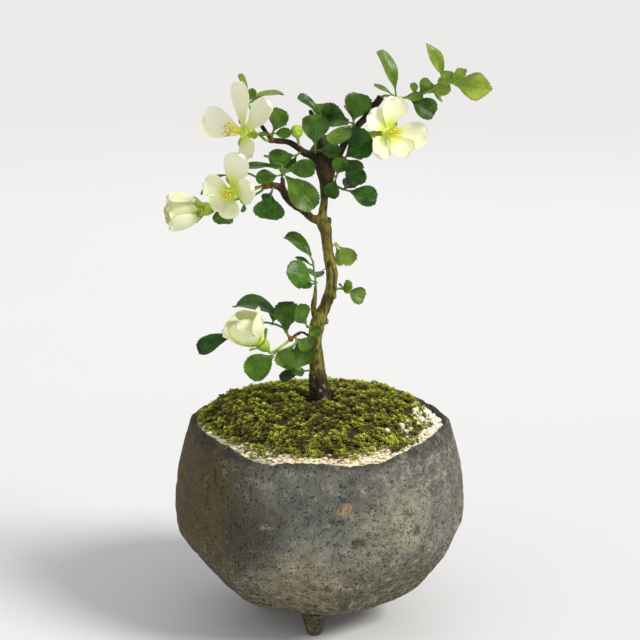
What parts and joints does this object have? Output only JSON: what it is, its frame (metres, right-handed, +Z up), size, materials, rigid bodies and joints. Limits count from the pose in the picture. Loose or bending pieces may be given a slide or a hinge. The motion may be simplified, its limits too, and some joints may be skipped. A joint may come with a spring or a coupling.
{
  "type": "flowering quince bonsai in a stoneware pot",
  "caption": "Small chojubai quince bonsai with pale cupped blooms and toothed leaves, moss and grit over its soil, in a round hand-formed stoneware pot on cone feet.",
  "frame": {"origin": "on the ground plane, under the middle of the box round the whole plant and pot", "axes": "+Z up, +X to the right and +Y away from the viewer, seen from the side that the first foot and the open blooms face"},
  "size_m": [0.1092, 0.0992, 0.2027],
  "materials": {
    "stoneware": "fired, unglazed, dark ash grey with brown marks",
    "net": "moulded, black",
    "soil": "damp, granular, dark brown",
    "grit": "loose cream grains and a few grey stones",
    "moss": "soft, tufted, yellow-green to olive",
    "bark": "rough, olive-brown to dark brown",
    "leaf": "glossy, toothed, deep green",
    "petal": "thin, translucent, cream to pale yellow-green",
    "stamen": "pale filaments with yellow anthers",
    "calyx": "smooth, yellow-green"
  },
  "bodies": {
    "root": {"bloom_far_left_calyx": "calyx", "bloom_far_left_petals": "petal", "bloom_far_left_stamens": "stamen", "bloom_low_left_calyx": "calyx", "bloom_low_left_petals": "petal", "bloom_low_left_stamens": "stamen", "bloom_mid_left_calyx": "calyx", "bloom_mid_left_petals": "petal", "bloom_mid_left_stamens": "stamen", "bloom_right_calyx": "calyx", "bloom_right_petals": "petal", "bloom_right_stamens": "stamen", "bloom_upper_left_calyx": "calyx", "bloom_upper_left_petals": "petal", "bloom_upper_left_stamens": "stamen", "drain_net": "net", "flower_bud": "calyx", "grit": "grit", "leaves_behind_bloom": "leaf", "leaves_crown_back": "leaf", "leaves_crown_front": "leaf", "leaves_crown_left": "leaf", "leaves_crown_right": "leaf", "leaves_crown_tip": "leaf", "leaves_crown_top": "leaf", "leaves_foot": "leaf", "leaves_left_glossy": "leaf", "leaves_left_top": "leaf", "leaves_left_upright": "leaf", "leaves_low_front": "leaf", "leaves_low_left": "leaf", "leaves_low_trunk": "leaf", "leaves_mid_left": "leaf", "leaves_mid_left_low": "leaf", "leaves_right_shoot": "leaf", "leaves_right_twig": "leaf", "leaves_trunk_back": "leaf", "leaves_trunk_left": "leaf", "leaves_trunk_right": "leaf", "leaves_under_bloom": "leaf", "moss": "moss", "pot": "stoneware", "soil": "soil", "wood": "bark"}
  },
  "joints": []
}
